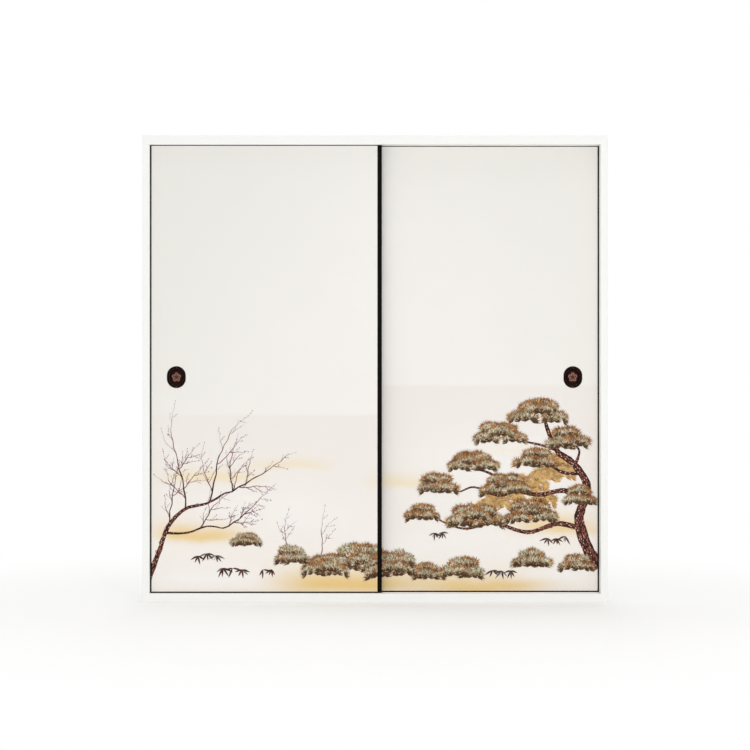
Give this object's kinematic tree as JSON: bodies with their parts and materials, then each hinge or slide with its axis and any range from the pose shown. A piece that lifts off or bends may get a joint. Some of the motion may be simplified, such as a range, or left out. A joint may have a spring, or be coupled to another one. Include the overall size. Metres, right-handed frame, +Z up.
{
  "type": "sliding paper door",
  "caption": "Pair of sliding paper doors in a timber frame with grooved head and sill: black lacquered edges, oval finger pulls and printed garden art on fibred paper.",
  "frame": {"origin": "middle of the underside of the sill, halfway between the front and the back", "axes": "+X to the viewer's right along the tracks, -Y to the viewer, out of the printed faces, +Z up"},
  "size_m": [1.822, 0.105, 1.832],
  "materials": {
    "frame_wood": "matte white paint on planed timber",
    "lacquer": "black gloss lacquer on wood",
    "core_cedar": "bare planed softwood",
    "underlay_paper": "layered soft paper",
    "facing_paper": "matte fibred paper",
    "pull_black": "dark patinated metal, satin",
    "pull_bronze": "worn dark bronze",
    "pull_nail_brass": "dulled brass",
    "nail_steel": "plain steel wire",
    "print_gold": "soft gold wash printed on paper",
    "print_bark": "brown ink printed on paper",
    "print_needles": "green and brown-gold ink printed on paper"
  },
  "bodies": {
    "frame": {"head_track": "frame_wood", "sill_track": "frame_wood", "jamb_left": "frame_wood", "jamb_right": "frame_wood", "corner_screws": "nail_steel"},
    "left_door": {"left_stile_outer": "lacquer", "left_stile_meeting": "lacquer", "left_top_rail": "lacquer", "left_bottom_rail": "lacquer", "left_core_side_bars": "core_cedar", "left_core_end_bars": "core_cedar", "left_core_cross_bars": "core_cedar", "left_core_uprights": "core_cedar", "left_corner_plates": "core_cedar", "left_pull_board": "core_cedar", "left_underlay_front": "underlay_paper", "left_underlay_back": "underlay_paper", "left_facing_front": "facing_paper", "left_facing_back": "facing_paper", "left_pull_ring_front": "pull_black", "left_pull_cup_front": "pull_bronze", "left_pull_ring_back": "pull_black", "left_pull_cup_back": "pull_bronze", "left_pull_nails": "pull_nail_brass", "left_stile_nails": "nail_steel", "left_rail_nails": "nail_steel", "left_print_mist": "print_gold", "left_print_branches": "print_bark", "left_print_foliage": "print_needles"},
    "right_door": {"right_stile_outer": "lacquer", "right_stile_meeting": "lacquer", "right_top_rail": "lacquer", "right_bottom_rail": "lacquer", "right_core_side_bars": "core_cedar", "right_core_end_bars": "core_cedar", "right_core_cross_bars": "core_cedar", "right_core_uprights": "core_cedar", "right_corner_plates": "core_cedar", "right_pull_board": "core_cedar", "right_underlay_front": "underlay_paper", "right_underlay_back": "underlay_paper", "right_facing_front": "facing_paper", "right_facing_back": "facing_paper", "right_pull_ring_front": "pull_black", "right_pull_cup_front": "pull_bronze", "right_pull_ring_back": "pull_black", "right_pull_cup_back": "pull_bronze", "right_pull_nails": "pull_nail_brass", "right_stile_nails": "nail_steel", "right_rail_nails": "nail_steel", "right_print_mist": "print_gold", "right_print_branches": "print_bark", "right_print_foliage": "print_needles"}
  },
  "joints": [
    {"name": "left_door_slide", "type": "slide", "parent": "frame", "child": "left_door", "axis": [1, 0, 0], "range_m": [0, 0.8565]},
    {"name": "right_door_slide", "type": "slide", "parent": "frame", "child": "right_door", "axis": [-1, 0, 0], "range_m": [0, 0.8565]}
  ]
}
